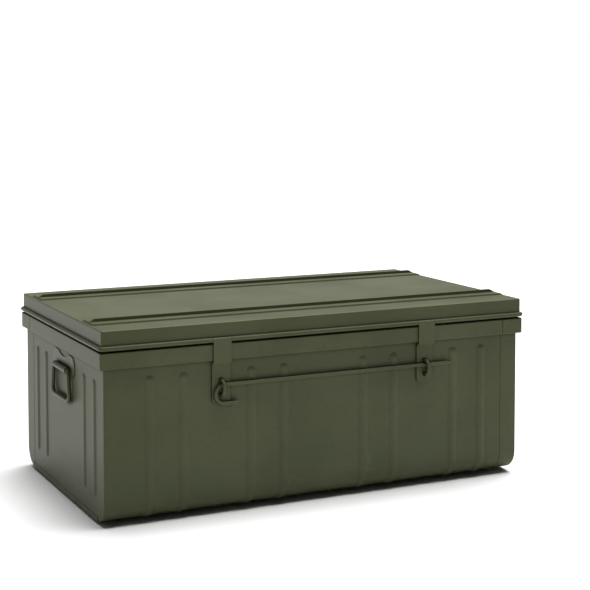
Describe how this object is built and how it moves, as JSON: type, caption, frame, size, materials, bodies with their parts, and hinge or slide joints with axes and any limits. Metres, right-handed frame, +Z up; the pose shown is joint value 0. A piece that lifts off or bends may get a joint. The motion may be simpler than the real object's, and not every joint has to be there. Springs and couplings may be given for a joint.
{
  "type": "steel trunk",
  "caption": "Long painted steel trunk with a hinged lid rolled over a rim wire, strap hasps over staples locked by one sliding hooked rod, pressed beads and bail handles at the ends.",
  "frame": {"origin": "on the floor under the middle of the outline seen from above, in the plane of the runners' undersides", "axes": "+X along the trunk to the right as seen from the front, +Y towards the hinges at the rear, +Z up"},
  "size_m": [0.823, 0.488, 0.3355],
  "materials": {
    "body_paint": "satin olive drab paint on pressed sheet",
    "lid_paint": "satin olive drab paint on pressed sheet",
    "fitting_paint": "satin olive drab paint, a little worn at the edges",
    "wire_paint": "satin olive drab paint on round bar",
    "runner_paint": "scuffed dark olive paint"
  },
  "bodies": {
    "trunk": {"wall_front_left": "body_paint", "wall_rear_right": "body_paint", "bottom_pan": "body_paint", "runner_front": "runner_paint", "runner_rear": "runner_paint", "hinge_leaf_left": "fitting_paint", "hinge_leaf_right": "fitting_paint", "hinge_rivets_left": "fitting_paint", "hinge_rivets_right": "fitting_paint", "staple_left": "wire_paint", "staple_right": "wire_paint", "staple_plate_left": "body_paint", "staple_plate_right": "body_paint", "handle_bracket_left": "fitting_paint", "handle_bracket_right": "fitting_paint"},
    "lid": {"lid_shell": "lid_paint", "rim_wire": "wire_paint"},
    "hasp_left": {"hasp_left": "fitting_paint"},
    "hasp_right": {"hasp_right": "fitting_paint"},
    "lock_rod": {"lock_rod": "wire_paint", "lock_rod_hook": "wire_paint"},
    "bail_left": {"handle_bail_left": "wire_paint"},
    "bail_right": {"handle_bail_right": "wire_paint"}
  },
  "joints": [
    {"name": "lid_open", "type": "hinge", "parent": "trunk", "child": "lid", "pos_m": [0, 0.24, 0.2986], "axis": [-1, 0, 0], "range_deg": [0, 105]},
    {"name": "hasp_left_swing", "type": "hinge", "parent": "lid", "child": "hasp_left", "pos_m": [-0.195, -0.23, 0.2986], "axis": [-1, 0, 0], "range_deg": [0, 120]},
    {"name": "hasp_right_swing", "type": "hinge", "parent": "lid", "child": "hasp_right", "pos_m": [0.201, -0.23, 0.2986], "axis": [-1, 0, 0], "range_deg": [0, 120]},
    {"name": "rod_draw", "type": "slide", "parent": "trunk", "child": "lock_rod", "axis": [-1, 0, 0], "range_m": [0, 0.43]},
    {"name": "bail_left_swing", "type": "hinge", "parent": "trunk", "child": "bail_left", "pos_m": [-0.40615, -0.007, 0.2305], "axis": [0, 1, 0], "range_deg": [0, 160]},
    {"name": "bail_right_swing", "type": "hinge", "parent": "trunk", "child": "bail_right", "pos_m": [0.40615, 0.017, 0.2305], "axis": [0, -1, 0], "range_deg": [0, 160]}
  ]
}
